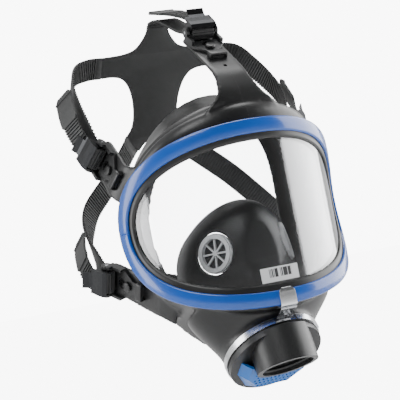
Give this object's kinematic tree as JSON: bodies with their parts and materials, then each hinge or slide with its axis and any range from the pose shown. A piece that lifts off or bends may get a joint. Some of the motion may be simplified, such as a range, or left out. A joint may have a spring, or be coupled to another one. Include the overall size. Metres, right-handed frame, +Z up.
{
  "type": "full-face respirator",
  "caption": "Full-face respirator with wrap-round visor, clamped frame, inner half mask, valved filter port and strap harness with roller buckles.",
  "frame": {"origin": "centre of the face opening, midway between the wearer's temples at mid-face", "axes": "the mask looks along -Y, +Y points to the wearer's face, +X is the wearer's left and +Z is up"},
  "size_m": [0.2212, 0.2027, 0.3144],
  "materials": {
    "facepiece_rubber": "satin moulded EPDM rubber",
    "inner_rubber": "satin moulded rubber",
    "visor_clear": "clear polycarbonate",
    "frame_blue": "glossy moulded",
    "cover_blue": "semi-gloss moulded",
    "clasp_steel": "satin pressed",
    "clamp_steel": "polished band",
    "screw_steel": "plain",
    "housing_black": "fine matt moulded",
    "gasket_rubber": "matt",
    "valve_plastic": "matt",
    "valve_rubber": "thin moulded",
    "seat_grey": "satin moulded",
    "label_white": "printed film",
    "strap_rubber": "matt moulded",
    "buckle_black": "moulded",
    "roller_black": "moulded",
    "lever_steel": "satin"
  },
  "bodies": {
    "root": {"facepiece": "facepiece_rubber", "inner_mask": "inner_rubber", "visor": "visor_clear", "frame_upper": "frame_blue", "frame_lower": "frame_blue", "exhalation_cover": "cover_blue", "frame_clasp": "clasp_steel", "clasp_bracket": "clasp_steel", "housing_clamp": "clamp_steel", "frame_screws": "screw_steel", "clasp_screw": "screw_steel", "connector_housing": "housing_black", "port_gasket": "gasket_rubber", "inlet_grid": "valve_plastic", "exhalation_seat": "valve_plastic", "inner_seat_left": "seat_grey", "inner_seat_right": "seat_grey", "visor_label": "label_white", "harness_plate": "strap_rubber", "forehead_strap": "strap_rubber", "forehead_buckle": "buckle_black", "forehead_pin": "screw_steel", "temple_strap_left": "strap_rubber", "temple_buckle_left": "buckle_black", "temple_pin_left": "screw_steel", "temple_strap_right": "strap_rubber", "temple_buckle_right": "buckle_black", "temple_pin_right": "screw_steel", "neck_strap_left": "strap_rubber", "neck_buckle_left": "buckle_black", "neck_pin_left": "screw_steel", "neck_strap_right": "strap_rubber", "neck_buckle_right": "buckle_black", "neck_pin_right": "screw_steel"},
    "forehead_lever_body": {"forehead_lever": "lever_steel"},
    "forehead_roller_body": {"forehead_roller": "roller_black"},
    "temple_lever_left_body": {"temple_lever_left": "lever_steel"},
    "temple_roller_left_body": {"temple_roller_left": "roller_black"},
    "temple_lever_right_body": {"temple_lever_right": "lever_steel"},
    "temple_roller_right_body": {"temple_roller_right": "roller_black"},
    "neck_lever_left_body": {"neck_lever_left": "lever_steel"},
    "neck_roller_left_body": {"neck_roller_left": "roller_black"},
    "neck_lever_right_body": {"neck_lever_right": "lever_steel"},
    "neck_roller_right_body": {"neck_roller_right": "roller_black"},
    "exhalation_valve": {"exhalation_disc": "valve_rubber"},
    "inlet_valve": {"inlet_valve_disc": "valve_rubber"},
    "inner_valve_left": {"inner_disc_left": "valve_rubber"},
    "inner_valve_right": {"inner_disc_right": "valve_rubber"}
  },
  "joints": [
    {"name": "forehead_lever_release", "type": "hinge", "parent": "root", "child": "forehead_lever_body", "pos_m": [0, -0.02224, 0.14615], "axis": [1, 0, 0], "range_deg": [0, 35]},
    {"name": "forehead_roller_turn", "type": "hinge", "parent": "root", "child": "forehead_roller_body", "pos_m": [0, -0.02224, 0.14615], "axis": [1, 0, 0], "continuous": true},
    {"name": "temple_lever_left_release", "type": "hinge", "parent": "root", "child": "temple_lever_left_body", "pos_m": [0.08953, 0.01997, 0.06597], "axis": [0.3603, 0.6454, -0.6735], "range_deg": [0, 35]},
    {"name": "temple_roller_left_turn", "type": "hinge", "parent": "root", "child": "temple_roller_left_body", "pos_m": [0.08953, 0.01997, 0.06597], "axis": [0.3603, 0.6454, -0.6735], "continuous": true},
    {"name": "temple_lever_right_release", "type": "hinge", "parent": "root", "child": "temple_lever_right_body", "pos_m": [-0.08953, 0.01997, 0.06597], "axis": [0.3603, -0.6454, 0.6735], "range_deg": [0, 35]},
    {"name": "temple_roller_right_turn", "type": "hinge", "parent": "root", "child": "temple_roller_right_body", "pos_m": [-0.08953, 0.01997, 0.06597], "axis": [0.3603, -0.6454, 0.6735], "continuous": true},
    {"name": "neck_lever_left_release", "type": "hinge", "parent": "root", "child": "neck_lever_left_body", "pos_m": [0.09321, 0.0369, -0.03103], "axis": [0.0057, 0.4964, -0.8681], "range_deg": [0, 35]},
    {"name": "neck_roller_left_turn", "type": "hinge", "parent": "root", "child": "neck_roller_left_body", "pos_m": [0.09321, 0.0369, -0.03103], "axis": [0.0057, 0.4964, -0.8681], "continuous": true},
    {"name": "neck_lever_right_release", "type": "hinge", "parent": "root", "child": "neck_lever_right_body", "pos_m": [-0.09321, 0.0369, -0.03103], "axis": [0.0057, -0.4964, 0.8681], "range_deg": [0, 35]},
    {"name": "neck_roller_right_turn", "type": "hinge", "parent": "root", "child": "neck_roller_right_body", "pos_m": [-0.09321, 0.0369, -0.03103], "axis": [0.0057, -0.4964, 0.8681], "continuous": true},
    {"name": "exhalation_disc_lift", "type": "slide", "parent": "root", "child": "exhalation_valve", "axis": [0, -0.5878, -0.809], "range_m": [0, 0.0018], "stiffness_N_per_m": 30, "springref_m": -0.0005},
    {"name": "inlet_disc_lift", "type": "slide", "parent": "root", "child": "inlet_valve", "axis": [0, 0.2756, 0.9613], "range_m": [0, 0.002], "stiffness_N_per_m": 30, "springref_m": -0.0005},
    {"name": "inner_disc_left_lift", "type": "slide", "parent": "root", "child": "inner_valve_left", "axis": [-0.8393, 0.5196, -0.1599], "range_m": [0, 0.0018], "stiffness_N_per_m": 30, "springref_m": -0.0005},
    {"name": "inner_disc_right_lift", "type": "slide", "parent": "root", "child": "inner_valve_right", "axis": [0.8393, 0.5196, -0.1599], "range_m": [0, 0.0018], "stiffness_N_per_m": 30, "springref_m": -0.0005}
  ]
}
